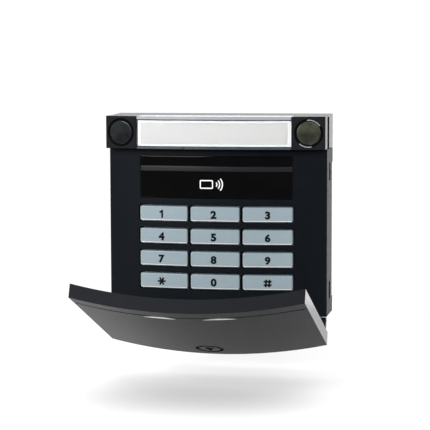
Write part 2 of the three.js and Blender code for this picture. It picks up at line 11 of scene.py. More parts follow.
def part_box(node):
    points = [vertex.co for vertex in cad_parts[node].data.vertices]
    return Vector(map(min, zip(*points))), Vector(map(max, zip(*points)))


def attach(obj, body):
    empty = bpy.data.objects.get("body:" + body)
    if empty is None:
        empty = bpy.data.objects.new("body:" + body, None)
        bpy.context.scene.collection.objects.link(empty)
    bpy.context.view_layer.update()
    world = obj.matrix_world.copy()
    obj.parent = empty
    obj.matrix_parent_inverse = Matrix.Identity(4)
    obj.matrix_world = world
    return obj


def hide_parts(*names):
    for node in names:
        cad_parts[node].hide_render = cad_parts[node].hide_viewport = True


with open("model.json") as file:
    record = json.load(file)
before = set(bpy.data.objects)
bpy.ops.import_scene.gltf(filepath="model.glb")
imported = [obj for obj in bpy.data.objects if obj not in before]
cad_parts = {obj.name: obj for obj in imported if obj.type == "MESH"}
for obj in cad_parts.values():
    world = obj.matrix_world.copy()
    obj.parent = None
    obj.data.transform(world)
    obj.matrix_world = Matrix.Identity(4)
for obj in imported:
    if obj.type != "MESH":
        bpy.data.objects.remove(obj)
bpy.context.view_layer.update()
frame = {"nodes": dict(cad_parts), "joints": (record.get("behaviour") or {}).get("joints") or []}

MM = 0.001
JOINTS = {joint["name"]: joint for joint in frame["joints"]}

# ------------------------------------------------------------------ driving dimensions
# A depth is the distance from the wall at the panel's side edges; every front stands out by BOW
# more in its middle.
HALF_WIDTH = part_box("wall_plate")[1].x
BOW = 5.8 * MM
BOW_RADIUS = (HALF_WIDTH**2 + BOW**2) / (2 * BOW)
STRIP = 2 * MM  # width of the flats that a bowed surface is drawn with
GAP = 0.3 * MM

BODY_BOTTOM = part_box("wall_plate")[0].z
BODY_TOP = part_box("wall_plate")[1].z
BODY_DEPTH = 20.5 * MM
BODY_BACK = 2.3 * MM
WALL = 2 * MM

SEGMENT_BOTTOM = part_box("segment_front")[0].z
SEGMENT_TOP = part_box("segment_front")[1].z
SEGMENT_DEPTH = 27.2 * MM
SEGMENT_LIP = -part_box("segment_front")[1].y
COVER_HALF_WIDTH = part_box("clear_cover")[1].x
COVER_WALL = 1 * MM
COVER_FOOT = SEGMENT_BOTTOM + 1.15 * MM
COVER_HEAD = SEGMENT_TOP - 1.5 * MM
LABEL_THICKNESS = 0.5 * MM

BUTTON_X = 43.6 * MM
BUTTON_Z = (SEGMENT_TOP + SEGMENT_BOTTOM) / 2
BUTTON_RADIUS = 5.4 * MM
BUTTON_BORE = 5.6 * MM
RING_RADIUS = 6.1 * MM
RING_DEPTH = 0.4 * MM
FLANGE_RADIUS = 6.5 * MM
POCKET_RADIUS = 6.9 * MM
STEM_RADIUS = 2 * MM

WINDOW_HALF_WIDTH = 35.6 * MM
WINDOW_TOP = 29.5 * MM
WINDOW_BOTTOM = 10.1 * MM
RIB_TOP = 24.9 * MM
RIB_BOTTOM = 22.5 * MM

KEY_NAMES = [["1", "2", "3"], ["4", "5", "6"], ["7", "8", "9"], ["star", "0", "hash"]]
KEY_WIDTH = 22.9 * MM
KEY_HEIGHT = 6.8 * MM
KEY_PROUD = 0.4 * MM
KEY_CORNER = 0.8 * MM
WELL_GAP = 0.55 * MM

FLAP_HINGE = Vector(JOINTS["flap_hinge"]["pos_m"])
FLAP_OPEN = -math.radians(min(JOINTS["flap_hinge"]["range_deg"]))
FLAP_TOP = 32.5 * MM
FLAP_BOTTOM = -48 * MM
FLAP_THICKNESS = 6.2 * MM
FLAP_SKIN = 2.4 * MM
FLAP_RIM = 2.4 * MM
GROOVE_DROP = 8.2 * MM
GROOVE_WIDTH = 1.2 * MM
GROOVE_DEPTH = 0.4 * MM
GRIP_X = 13.2 * MM
GRIP_DROP = 11.6 * MM
GRIP_HALF_WIDTH = 7.5 * MM
GRIP_DEPTH = 0.5 * MM
GRIP_HEIGHT = 4 * MM
SIGN_X = -1.7 * MM
SIGN_Z = FLAP_BOTTOM + 11 * MM
SIGN_RADIUS = 6.6 * MM
SIGN_STROKE = 1.7 * MM
ARM_INNER_X = 43.8 * MM
ARM_OUTER_X = 50.3 * MM
KNUCKLE_RADIUS = 1.4 * MM
LUG_INNER_X = 39.3 * MM
LUG_OUTER_X = 43.3 * MM
PIN_BORE = 0.8 * MM

# ------------------------------------------------------------------ view and light
CAMERA_PLACE = Vector((145.97, -778.89, 76.70)) * MM
CAMERA_TURN = 0.19157
CAMERA_TILT = -0.09637
CAMERA_ROLL = -0.0030
SENSOR_WIDTH = 36
LENS = 140.4134
FLOOR_Z = -76 * MM
FLOOR_RADIUS = 0.24
BACKDROP_SEEN = 1.05
SOFTBOX_AWAY = (0.52, -1.12, 0.40)
SOFTBOX_SIZE = 0.5
SOFTBOX_LEFT_POWER = 17
SOFTBOX_RIGHT_POWER = 5.5
TENT_DARK = 0.03
TENT_SIDES = 1.25
TENT_BACK = 1.7


# ------------------------------------------------------------------ camera
def make_camera():
    """The camera: a long lens, a little to the right of the panel and a little above it."""
    turn, tilt, roll = CAMERA_TURN, CAMERA_TILT, CAMERA_ROLL
    forward = Vector((-math.sin(turn) * math.cos(tilt), math.cos(turn) * math.cos(tilt), math.sin(tilt)))
    right = Vector((math.cos(turn), math.sin(turn), 0))
    up = right.cross(forward)
    right, up = right * math.cos(roll) + up * math.sin(roll), up * math.cos(roll) - right * math.sin(roll)
    data = bpy.data.cameras.new("camera")
    data.sensor_width = SENSOR_WIDTH
    data.lens = LENS
    data.clip_start = 0.01
    camera = bpy.data.objects.new("camera", data)
    bpy.context.scene.collection.objects.link(camera)
    turned = Matrix((right, up, -forward)).transposed().to_4x4()
    camera.matrix_world = Matrix.Translation(CAMERA_PLACE) @ turned
    bpy.context.scene.camera = camera


make_camera()


# ------------------------------------------------------------------ mesh building
def bow_at(x):
    """How far a bowed front stands out at x, beyond its depth at the side edges."""
    return math.sqrt(BOW_RADIUS**2 - min(x * x, HALF_WIDTH**2)) - (BOW_RADIUS - BOW)


def front_y(x, depth):
    return -(depth + bow_at(x))


def new_object(name, mesh):
    piece = bpy.data.objects.new(name, mesh)
    bpy.context.scene.collection.objects.link(piece)
    return piece


def flat_box(x0, x1, depth0, depth1, z0, z1):
    """A box before the bow is put in: y is minus the depth."""
    mesh = bmesh.new()
    bmesh.ops.create_cube(mesh, size=1)
    for vertex in mesh.verts:
        vertex.co.x = (x0 + x1) / 2 + vertex.co.x * abs(x1 - x0)
        vertex.co.y = -(depth0 + depth1) / 2 + vertex.co.y * abs(depth1 - depth0)
        vertex.co.z = (z0 + z1) / 2 + vertex.co.z * abs(z1 - z0)
    return mesh


def rod(axis, centre, start, end, radius, sides=48, end_radius=None):
    """A round bar along axis x, y or z; centre is its place on the other two axes."""
    mesh = bmesh.new()
    bmesh.ops.create_cone(
        mesh,
        cap_ends=True,
        segments=sides,
        radius1=radius,
        radius2=radius if end_radius is None else end_radius,
        depth=end - start,
    )
    turn = {
        "x": Matrix.Rotation(math.pi / 2, 3, "Y"),
        "y": Matrix.Rotation(-math.pi / 2, 3, "X"),
        "z": Matrix.Identity(3),
    }[axis]
    place = list(centre)
    place.insert("xyz".index(axis), (start + end) / 2)
    bmesh.ops.rotate(mesh, verts=mesh.verts, cent=(0, 0, 0), matrix=turn)
    bmesh.ops.translate(mesh, verts=mesh.verts, vec=Vector(place))
    return mesh


def wedge_ring(x, y, z, radius, half_width, sides=96):
    """A ring whose section is a square standing on its corner; it cuts a V-shaped groove."""
    mesh = bmesh.new()
    corners = [(half_width, 0), (0, half_width), (-half_width, 0), (0, -half_width)]
    loops = []
    for i in range(sides):
        angle = 2 * math.pi * i / sides
        across, up = math.cos(angle), math.sin(angle)
        loop = []
        for out, back in corners:
            reach = radius + out
            loop.append(mesh.verts.new((x + reach * across, y + back, z + reach * up)))
        loops.append(loop)
    for i in range(sides):
        here, there = loops[i], loops[(i + 1) % sides]
        for j in range(4):
            k = (j + 1) % 4
            mesh.faces.new((here[j], here[k], there[k], there[j]))
    bmesh.ops.recalc_face_normals(mesh, faces=mesh.faces)
    return mesh


def rounded_bar(x0, x1, z0, z1, corner, depth0, depth1, steps=6):
    """A bar along Y whose section in X and Z is a rectangle with round corners."""
    mesh = bmesh.new()
    left, right, low, high = x0 + corner, x1 - corner, z0 + corner, z1 - corner
    corners = [(right, low), (right, high), (left, high), (left, low)]
    outline = []
    for quarter, (cx, cz) in enumerate(corners):
        for step in range(steps + 1):
            angle = (quarter - 1) * math.pi / 2 + step / steps * math.pi / 2
            outline.append((cx + corner * math.cos(angle), cz + corner * math.sin(angle)))
    loops = [[mesh.verts.new((x, -depth, z)) for x, z in outline] for depth in (depth0, depth1)]
    mesh.faces.new(loops[0])
    mesh.faces.new(reversed(loops[1]))
    for i in range(len(outline)):
        j = (i + 1) % len(outline)
        mesh.faces.new((loops[0][i], loops[1][i], loops[1][j], loops[0][j]))
    bmesh.ops.recalc_face_normals(mesh, faces=mesh.faces)
    return mesh


def to_object(name, mesh):
    data = bpy.data.meshes.new(name)
    mesh.to_mesh(data)
    mesh.free()
    return new_object(name, data)


def settle(piece):
    """Applies a piece's modifiers."""
    bpy.context.view_layer.update()
    evaluated = piece.evaluated_get(bpy.context.evaluated_depsgraph_get())
    data = bpy.data.meshes.new_from_object(evaluated)
    old = piece.data
    piece.modifiers.clear()
    piece.data = data
    bpy.data.meshes.remove(old)
    return piece


def combine(piece, tools, operation):
    """Joins to, or cuts from, a piece each of the tools."""
    for tool in tools:
        other = to_object("tool", tool)
        step = piece.modifiers.new("step", "BOOLEAN")
        step.operation = operation
        step.solver = "EXACT"
        step.object = other
        settle(piece)
        bpy.data.objects.remove(other)
    return piece


def shape(name, base, joined=(), cut=()):
    piece = to_object(name, base)
    combine(piece, joined, "UNION")
    return combine(piece, cut, "DIFFERENCE")


def round_edges(piece, width, segments=3, angle=30):
    bevel = piece.modifiers.new("edges", "BEVEL")
    bevel.width = width
    bevel.segments = segments
    bevel.limit_method = "ANGLE"
    bevel.angle_limit = math.radians(angle)
    bevel.use_clamp_overlap = True
    return settle(piece)


def bend(piece, straight_depth, bowed_depth):
    """Puts the bow in: none behind straight_depth, all of it in front of bowed_depth."""
    mesh = bmesh.new()
    mesh.from_mesh(piece.data)
    xs = [vertex.co.x for vertex in mesh.verts]
    first = math.floor(min(xs) / STRIP) + 1
    last = math.ceil(max(xs) / STRIP)
    for i in range(first, last):
        geometry = mesh.verts[:] + mesh.edges[:] + mesh.faces[:]
        bmesh.ops.bisect_plane(mesh, geom=geometry, dist=1e-7, plane_co=(i * STRIP, 0, 0), plane_no=(1, 0, 0))
    for vertex in mesh.verts:
        share = (-vertex.co.y - straight_depth) / (bowed_depth - straight_depth)
        vertex.co.y -= bow_at(vertex.co.x) * min(1, max(0, share))
        vertex.co.x = max(-HALF_WIDTH, min(HALF_WIDTH, vertex.co.x))
    bmesh.ops.dissolve_degenerate(mesh, edges=mesh.edges, dist=1e-7)
    mesh.to_mesh(piece.data)
    mesh.free()
    return piece


def slice_across(piece, levels):
    """Splits the faces of a piece at some heights, so that they can be painted apart."""
    mesh = bmesh.new()
    mesh.from_mesh(piece.data)
    for level in levels:
        geometry = mesh.verts[:] + mesh.edges[:] + mesh.faces[:]
        bmesh.ops.bisect_plane(mesh, geom=geometry, dist=1e-7, plane_co=(0, 0, level), plane_no=(0, 0, 1))
    mesh.to_mesh(piece.data)
    mesh.free()
    return piece


def smooth(piece, angle=35):
    """Smooth shading with flat faces kept flat."""
    mesh = bmesh.new()
    mesh.from_mesh(piece.data)
    limit = math.radians(angle)
    for face in mesh.faces:
        face.smooth = True
    for edge in mesh.edges:
        edge.smooth = len(edge.link_faces) == 2 and edge.calc_face_angle(0) < limit
    mesh.to_mesh(piece.data)
    mesh.free()
    weighted = piece.modifiers.new("normals", "WEIGHTED_NORMAL")
    weighted.keep_sharp = True
    weighted.mode = "FACE_AREA"
    return piece


def finished(piece, material, body, slot, *nodes):
    """Gives a piece its material and its body, and hides the CAD nodes that it stands for; slot is not used.
    """
    piece.data.materials.clear()
    piece.data.materials.append(material)
    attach(piece, body)
    if nodes:
        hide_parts(*nodes)
    return piece


def paint_faces(piece, material, chosen):
    """Gives a second material to the faces that chosen(centre, normal) picks."""
    piece.data.materials.append(material)
    index = len(piece.data.materials) - 1
    for face in piece.data.polygons:
        if chosen(face.center, face.normal):
            face.material_index = index


def off_the_bow(centre, normal):
    """Whether a face is turned away from the bowed front."""
    tilt = math.asin(max(-1, min(1, centre.x / BOW_RADIUS)))
    return normal.dot(Vector((math.sin(tilt), -math.cos(tilt), 0))) < 0.985


def both_sides(make):
    return [make(side) for side in (-1, 1)]


def ordered(a, b):
    return min(a, b), max(a, b)


# ------------------------------------------------------------------ materials
class Nodes:
    """A material's node tree, with the few kinds of node that these materials use."""

    def __init__(self, name):
        self.material = bpy.data.materials.new(name)
        self.material.use_nodes = True
        self.tree = self.material.node_tree
        self.shader = next(node for node in self.tree.nodes if node.type == "BSDF_PRINCIPLED")
        self.place = self.add("ShaderNodeTexCoord").outputs["Object"]

    def add(self, kind, **values):
        node = self.tree.nodes.new(kind)
        for key, value in values.items():
            setattr(node, key, value)
        return node

    def link(self, output, socket):
        self.tree.links.new(output, socket)

    def noise(self, size, detail=3.0, roughness=0.55, stretch=(1, 1, 1)):
        """Noise whose features are about size metres wide."""
        mapping = self.add("ShaderNodeMapping")
        mapping.inputs["Scale"].default_value = stretch
        self.link(self.place, mapping.inputs["Vector"])
        noise = self.add("ShaderNodeTexNoise")
        noise.inputs["Scale"].default_value = 1 / size
        noise.inputs["Detail"].default_value = detail
        noise.inputs["Roughness"].default_value = roughness
        self.link(mapping.outputs["Vector"], noise.inputs["Vector"])
        return noise.outputs["Fac"]

    def between(self, source, low, high, start=0.3, end=0.7):
        """A number that goes from low to high as source goes from start to end."""
        node = self.add("ShaderNodeMapRange")
        node.inputs["From Min"].default_value = start
        node.inputs["From Max"].default_value = end
        node.inputs["To Min"].default_value = low
        node.inputs["To Max"].default_value = high
        self.link(source, node.inputs["Value"])
        return node.outputs["Result"]

    def ramp(self, source, colors):
        """A colour ramp with evenly spread colours."""
        node = self.add("ShaderNodeValToRGB")
        elements = node.color_ramp.elements
        while len(elements) < len(colors):
            elements.new(0.5)
        for i, color in enumerate(colors):
            elements[i].position = i / (len(colors) - 1)
            elements[i].color = (*color, 1)
        self.link(source, node.inputs["Fac"])
        return node.outputs["Color"]

    def bump(self, height, depth, before=None):
        node = self.add("ShaderNodeBump")
        node.inputs["Strength"].default_value = 1
        node.inputs["Distance"].default_value = depth
        self.link(height, node.inputs["Height"])
        if before is not None:
            self.link(before, node.inputs["Normal"])
        self.link(node.outputs["Normal"], self.shader.inputs["Normal"])
        return node.outputs["Normal"]

    def set(self, **values):
        for key, value in values.items():
            self.shader.inputs[key.replace("_", " ")].default_value = value


def shade(color, factor):
    return tuple(min(1, channel * factor) for channel in color)


def moulded(
    name, color, roughness, grain=0.25 * MM, grain_depth=0.004 * MM, specular=0.5, spread=0.05, variation=0.12
):
    """Moulded plastic: a fine spark-eroded grain, faint cloudiness and uneven gloss."""
    nodes = Nodes(name)
    cloud = nodes.noise(9 * MM, detail=2)
    colors = [shade(color, 1 - variation), color, shade(color, 1 + variation)]
    nodes.link(nodes.ramp(nodes.between(cloud, 0, 1), colors), nodes.shader.inputs["Base Color"])
    wear = nodes.noise(3 * MM, detail=4)
    nodes.link(nodes.between(wear, roughness - spread, roughness + spread), nodes.shader.inputs["Roughness"])
    nodes.bump(nodes.noise(grain, detail=2), grain_depth)
    nodes.shader.inputs["Specular IOR Level"].default_value = specular
    return nodes


def body_plastic():
    nodes = moulded(
        "body_plastic", (0.0023, 0.0037, 0.0058), 0.45, grain_depth=0.002 * MM, specular=0.062, variation=0.06
    )
    return nodes.material


def gloss_plastic(name, specular, roughness=0.2):
    nodes = moulded(
        name,
        (0.0115, 0.012, 0.014),
        roughness,
        grain=1.2 * MM,
        grain_depth=0.0004 * MM,
        specular=specular,
        spread=0.02,
        variation=0.04,
    )
    return nodes.material


def rear_plastic():
    return moulded("rear_plastic", (0.012, 0.0125, 0.014), 0.5, specular=0.2, variation=0.06).material


def window_gloss():
    return moulded(
        "window_gloss",
        (0.0025, 0.0025, 0.0027),
        0.06,
        grain=4 * MM,
        grain_depth=0.0008 * MM,
        specular=0.3,
        spread=0.02,
    ).material


def key_plastic():
    """Translucent blue-grey keys."""
    nodes = moulded(
        "key_plastic",
        (0.235, 0.29, 0.32),
        0.3,
        grain=0.5 * MM,
        grain_depth=0.0015 * MM,
        specular=0.3,
        spread=0.01,
        variation=0.01,
    )
    nodes.set(Subsurface_Weight=0.15, Subsurface_Radius=(0.9 * MM, 1.0 * MM, 1.1 * MM), Subsurface_Scale=1.0)
    return nodes.material


def key_edge_painted_highlight():
    """The rounded edge of a key, given a pale colour as a painted highlight."""
    return moulded("key_edge_painted_highlight", (0.72, 0.74, 0.75), 0.3, grain_depth=0.001 * MM, variation=0.03).material


def recess_painted_shade():
    """Near-black painted shade for the walls of the holes that the keys sit in, and of other recesses."""
    color = (0.0012, 0.0012, 0.0014)
    return moulded("recess_painted_shade", color, 0.6, grain_depth=0.002 * MM, specular=0.05).material


def smoked_plastic(name, color):
    """Smoked button lenses, with the dim cloud of the light guide behind them."""
    nodes = Nodes(name)
    cloud = nodes.noise(6 * MM, detail=1)
    colors = [shade(color, 0.5), color, shade(color, 1.7)]
    nodes.link(nodes.ramp(nodes.between(cloud, 0, 1), colors), nodes.shader.inputs["Base Color"])
    nodes.link(nodes.between(nodes.noise(2 * MM), 0.12, 0.2), nodes.shader.inputs["Roughness"])
    nodes.bump(nodes.noise(0.6 * MM), 0.002 * MM)
    nodes.shader.inputs["Coat Weight"].default_value = 0.1
    nodes.shader.inputs["Coat Roughness"].default_value = 0.15
    nodes.shader.inputs["Specular IOR Level"].default_value = 0.2
    return nodes.material


def clear_plastic():
    """The clear cover: moulded acrylic with faint flow waves."""
    nodes = Nodes("clear_plastic")
    nodes.link(nodes.between(nodes.noise(4 * MM), 0.01, 0.05), nodes.shader.inputs["Roughness"])
    nodes.bump(nodes.noise(6 * MM, detail=1), 0.004 * MM)
    tint = nodes.ramp(nodes.between(nodes.noise(12 * MM), 0, 1), [(0.98, 0.985, 0.985), (0.99, 0.992, 0.992)])
    nodes.link(tint, nodes.shader.inputs["Base Color"])
    nodes.shader.inputs["Transmission Weight"].default_value = 1
    nodes.shader.inputs["IOR"].default_value = 1.49
    return nodes.material


def paper(name, color, painted_glow=0.0):
    """Printed card, with a faint glow that is painted light."""
    nodes = Nodes(name)
    nodes.shader.inputs["Emission Color"].default_value = (1, 1, 0.99, 1)
    nodes.shader.inputs["Emission Strength"].default_value = painted_glow
    fibres = nodes.noise(0.35 * MM, detail=5, stretch=(1, 1, 3))
    tone = nodes.ramp(nodes.between(fibres, 0, 1), [shade(color, 0.985), color])
    nodes.link(tone, nodes.shader.inputs["Base Color"])
    nodes.link(nodes.between(fibres, 0.6, 0.75), nodes.shader.inputs["Roughness"])
    nodes.bump(fibres, 0.003 * MM)
    nodes.shader.inputs["Specular IOR Level"].default_value = 0.25
    return nodes.material


def ink(name, color):
    nodes = Nodes(name)
    speckle = nodes.noise(0.15 * MM, detail=2)
    tone = nodes.ramp(nodes.between(speckle, 0, 1), [shade(color, 0.85), color])
    nodes.link(tone, nodes.shader.inputs["Base Color"])
    nodes.link(nodes.between(speckle, 0.55, 0.7), nodes.shader.inputs["Roughness"])
    nodes.bump(speckle, 0.002 * MM)
    nodes.shader.inputs["Specular IOR Level"].default_value = 0.02
    return nodes.material


def circuit_board():
    """Green solder mask with lighter copper tracks under it."""
    nodes = Nodes("circuit_board")
    tracks = nodes.add("ShaderNodeTexBrick")
    tracks.inputs["Scale"].default_value = 1 / (10 * MM)
    tracks.inputs["Mortar Size"].default_value = 0.012
    tracks.inputs["Brick Width"].default_value = 0.47
    tracks.inputs["Row Height"].default_value = 0.13
    upright = nodes.add("ShaderNodeMapping")
    upright.inputs["Rotation"].default_value = (math.pi / 2, 0, 0)
    nodes.link(nodes.place, upright.inputs["Vector"])
    nodes.link(upright.outputs["Vector"], tracks.inputs["Vector"])
    lines = tracks.outputs["Fac"]
    mask = nodes.ramp(lines, [(0.012, 0.075, 0.03), (0.03, 0.16, 0.06)])
    nodes.link(mask, nodes.shader.inputs["Base Color"])
    nodes.link(nodes.between(nodes.noise(1.5 * MM), 0.25, 0.4), nodes.shader.inputs["Roughness"])
    nodes.bump(lines, 0.03 * MM)
    return nodes.material


def metal(name, color, roughness, stretch):
    nodes = Nodes(name)
    brushed = nodes.noise(0.3 * MM, detail=4, stretch=stretch)
    tone = nodes.ramp(nodes.between(brushed, 0, 1), [shade(color, 0.8), color])
    nodes.link(tone, nodes.shader.inputs["Base Color"])
    nodes.link(nodes.between(brushed, roughness - 0.08, roughness + 0.12), nodes.shader.inputs["Roughness"])
    nodes.bump(brushed, 0.004 * MM)
    nodes.shader.inputs["Metallic"].default_value = 1
    return nodes.material


BODY_PLASTIC = body_plastic()
GLOSS_PLASTIC = gloss_plastic("gloss_plastic", 0.34)
SEGMENT_PLASTIC = gloss_plastic("segment_plastic", 0.035)
SEGMENT_TOP_PLASTIC = gloss_plastic("segment_top", 0.045, 0.3)
FLAP_FACE = gloss_plastic("flap_face", 0.015, 0.25)
RIB_PLASTIC = moulded(
    "rib_plastic",
    (0.009, 0.0105, 0.0125),
    0.3,
    grain=1 * MM,
    grain_depth=0.0005 * MM,
    specular=0.2,
    spread=0.01,
    variation=0.03,
).material
WINDOW_GLOSS = window_gloss()
KEY_PLASTIC = key_plastic()
KEY_EDGE_PAINTED_HIGHLIGHT = key_edge_painted_highlight()
# Painted shade: a darker copy of the key colour for the top and right rounded edges of the keys.
KEY_EDGE_PAINTED_SHADE = moulded(
    "key_edge_painted_shade", (0.15, 0.185, 0.2), 0.35, grain_depth=0.001 * MM, specular=0.2, variation=0.03
).material
# Painted light: opaque colours on the lips of the clear cover, teal along its foot and pale grey as a
# highlight along its head.
COVER_FOOT_PAINTED_LIGHT = moulded(
    "cover_foot", (0.03, 0.045, 0.055), 0.3, grain_depth=0.001 * MM, variation=0.05
).material
COVER_HEAD_PAINTED_HIGHLIGHT = moulded("cover_head", (0.28, 0.3, 0.32), 0.2, grain_depth=0.001 * MM, variation=0.04).material
# Painted highlight: two pale arcs in the groove round the right button.
ARC_PAINTED_HIGHLIGHT = moulded(
    "arc_painted_highlight", (0.3, 0.31, 0.31), 0.25, grain_depth=0.0005 * MM, variation=0.02
).material
# Painted highlight: near-white for the ledges of the flap's finger grips.
GRIP_LEDGE_PAINTED_HIGHLIGHT = moulded(
    "grip_ledge_painted_highlight", (0.85, 0.85, 0.85), 0.25, grain_depth=0.0005 * MM, variation=0.02
).material
RECESS_PAINTED_SHADE = recess_painted_shade()
# Painted light and shade: the right lens is a lighter, olive copy of the smoked colour and the left a darker
# one.
SMOKED_LENS = {
    "left": smoked_plastic("smoked_lens_left_painted_shade", (0.011, 0.0125, 0.0135)),
    "right": smoked_plastic("smoked_lens_right_painted_light", (0.033, 0.036, 0.026)),
}
CLEAR_PLASTIC = clear_plastic()
# Painted light: the label and its margin glow faintly.
LABEL_PAPER = paper("label_paper", (0.84, 0.84, 0.83), 0.04)
LABEL_EDGE = paper("label_edge", (0.98, 0.98, 0.975), 0.25)
BLACK_INK = ink("black_ink", (0.006, 0.006, 0.007))
WHITE_INK = ink("white_ink", (0.86, 0.87, 0.87))


# ------------------------------------------------------------------ housing
def centre_of(node):
    """Middle of a node, across and up."""
    low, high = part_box(node)
    return (low.x + high.x) / 2, (low.z + high.z) / 2


KEY_CENTRES = {name: centre_of(f"key_{name}") for name in sum(KEY_NAMES, [])}


def in_key_well(centre, normal):
    """Whether a face of the housing belongs to the walls of a key's hole."""
    if not off_the_bow(centre, normal) or -centre.y < BODY_DEPTH - WALL:
        return False
    half_x, half_z = KEY_WIDTH / 2 + 2 * WELL_GAP, KEY_HEIGHT / 2 + 2 * WELL_GAP
    return any(abs(centre.x - x) < half_x and abs(centre.z - z) < half_z for x, z in KEY_CENTRES.values())


def in_snap_window(centre, normal):
    """Whether a face of the housing is a wall of one of the slots in its sides."""
    beside = HALF_WIDTH - WALL - 0.1 * MM < abs(centre.x) < HALF_WIDTH - 0.1 * MM
    along = 8 * MM < -centre.y < 14 * MM and BODY_BOTTOM + 3 * MM < centre.z < 28 * MM
    return beside and along and abs(normal.x) < 0.5


def hinge_lugs():
    return both_sides(
        lambda side: flat_box(
            *ordered(side * LUG_INNER_X, side * LUG_OUTER_X),
            -FLAP_HINGE.y - 2.4 * MM,
            -FLAP_HINGE.y + 2.4 * MM,
            FLAP_HINGE.z - 1.3 * MM,
            BODY_BOTTOM + 1 * MM,
        )
    )


def pin_bores(inner_x, outer_x):
    """The bores for the hinge pins, a little longer than what they go through."""
    place = (FLAP_HINGE.y, FLAP_HINGE.z)
    return both_sides(
        lambda side: rod("x", place, *ordered(side * (inner_x - MM), side * (outer_x + MM)), PIN_BORE, 24)
    )


def front_opening(x0, x1, z0, z1, corner):
    """A tool that cuts a round-cornered opening through the front of the housing."""
    return rounded_bar(x0, x1, z0, z1, corner, BODY_DEPTH - 2 * WALL, BODY_DEPTH + WALL)


def key_hole(x, z):
    half_x, half_z = KEY_WIDTH / 2 + WELL_GAP, KEY_HEIGHT / 2 + WELL_GAP
    return front_opening(x - half_x, x + half_x, z - half_z, z + half_z, KEY_CORNER + WELL_GAP)


def snap_windows():
    """The slots in the sides that the hooks of the wall plate snap into."""
    windows = []
    for side in (-1, 1):
        for z in (22 * MM, -33 * MM):
            ends = ordered(side * (HALF_WIDTH - 3 * MM), side * (HALF_WIDTH + 1 * MM))
            windows.append(flat_box(*ends, 8.5 * MM, 12.5 * MM, z - 4 * MM, z + 4 * MM))
    return windows


def lock_screw_holes():
    low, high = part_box("lock_screw")
    screw = ((low.x + high.x) / 2, (low.y + high.y) / 2)
    return [
        rod("z", screw, BODY_BOTTOM - 1 * MM, BODY_BOTTOM + 3 * MM, 1.5 * MM, 24),
        rod("z", screw, BODY_BOTTOM - 1 * MM, BODY_BOTTOM + 1.2 * MM, 2.7 * MM, 32),
    ]


def top_openings():
    """The notches for the segment's hooks and the hole for its connector."""
    low, high = BODY_TOP - 3 * MM, BODY_TOP + 1 * MM
    notches = both_sides(
        lambda side: flat_box(*ordered(side * 26 * MM, side * 34 * MM), 0, 7.1 * MM, low, high)
    )
    return [*notches, flat_box(-8 * MM, 8 * MM, 9 * MM, 13.1 * MM, low, high)]


def front_housing():
    """The bowed shell with its openings and the lugs that the flap hangs on."""
    base = flat_box(-HALF_WIDTH, HALF_WIDTH, BODY_BACK, BODY_DEPTH, BODY_BOTTOM, BODY_TOP)
    hollow = flat_box(
        -HALF_WIDTH + WALL, HALF_WIDTH - WALL, 0, BODY_DEPTH - WALL, BODY_BOTTOM + WALL, BODY_TOP - WALL
    )
    window_x = WINDOW_HALF_WIDTH + GAP / 2
    window = front_opening(-window_x, window_x, WINDOW_BOTTOM - GAP / 2, WINDOW_TOP + GAP / 2, 0.5 * MM)
    cuts = [
        hollow,
        window,
        *(key_hole(x, z) for x, z in KEY_CENTRES.values()),
        *snap_windows(),
        *lock_screw_holes(),
        *pin_bores(LUG_INNER_X, LUG_OUTER_X),
        *top_openings(),
    ]
    piece = shape("housing_shell", base, hinge_lugs(), cuts)
    round_edges(piece, 0.3 * MM, 3)
    bend(piece, BODY_BACK + 4 * MM, BODY_DEPTH - WALL - 2 * MM)
    finished(smooth(piece), BODY_PLASTIC, "root", "housing_plastic", "front_housing")
    # painted shade: the walls of the key holes and of the side slots are painted near-black
    paint_faces(piece, RECESS_PAINTED_SHADE, in_key_well)
    paint_faces(piece, RECESS_PAINTED_SHADE, in_snap_window)
    return piece


def window_panel():
    """The reader window, its raised rib and the flange behind the housing."""
    base = rounded_bar(
        -WINDOW_HALF_WIDTH,
        WINDOW_HALF_WIDTH,
        WINDOW_BOTTOM,
        WINDOW_TOP,
        0.4 * MM,
        BODY_DEPTH - 2.7 * MM,
        BODY_DEPTH - 0.1 * MM,
    )
    flange = flat_box(
        -WINDOW_HALF_WIDTH - 2 * MM,
        WINDOW_HALF_WIDTH + 2 * MM,
        BODY_DEPTH - WALL - GAP - 1.2 * MM,
        BODY_DEPTH - WALL - GAP,
        WINDOW_BOTTOM - 0.9 * MM,
        WINDOW_TOP + 0.9 * MM,
    )
    rib = flat_box(
        -WINDOW_HALF_WIDTH + 0.1 * MM,
        WINDOW_HALF_WIDTH - 0.1 * MM,
        BODY_DEPTH - 1 * MM,
        BODY_DEPTH + 0.6 * MM,
        RIB_BOTTOM,
        RIB_TOP,
    )
    piece = shape("reader_window", base, [flange])
    round_edges(piece, 0.22 * MM, 3)
    bend(piece, 1 * MM, 10 * MM)
    finished(smooth(piece), WINDOW_GLOSS, "root", "window_gloss", "window_panel")
    piece = to_object("window_rib", rib)
    round_edges(piece, 0.3 * MM, 3)
    bend(piece, 1 * MM, 10 * MM)
    finished(smooth(piece), RIB_PLASTIC, "root", "window_gloss")


def on_painted_highlight_key_edge(centre, normal):
    """Whether a face belongs to the rounded left or lower edge of a key, which gets the painted highlight."""
    return normal.y < -0.05 and (normal.x < -0.7 or normal.z < -0.12)


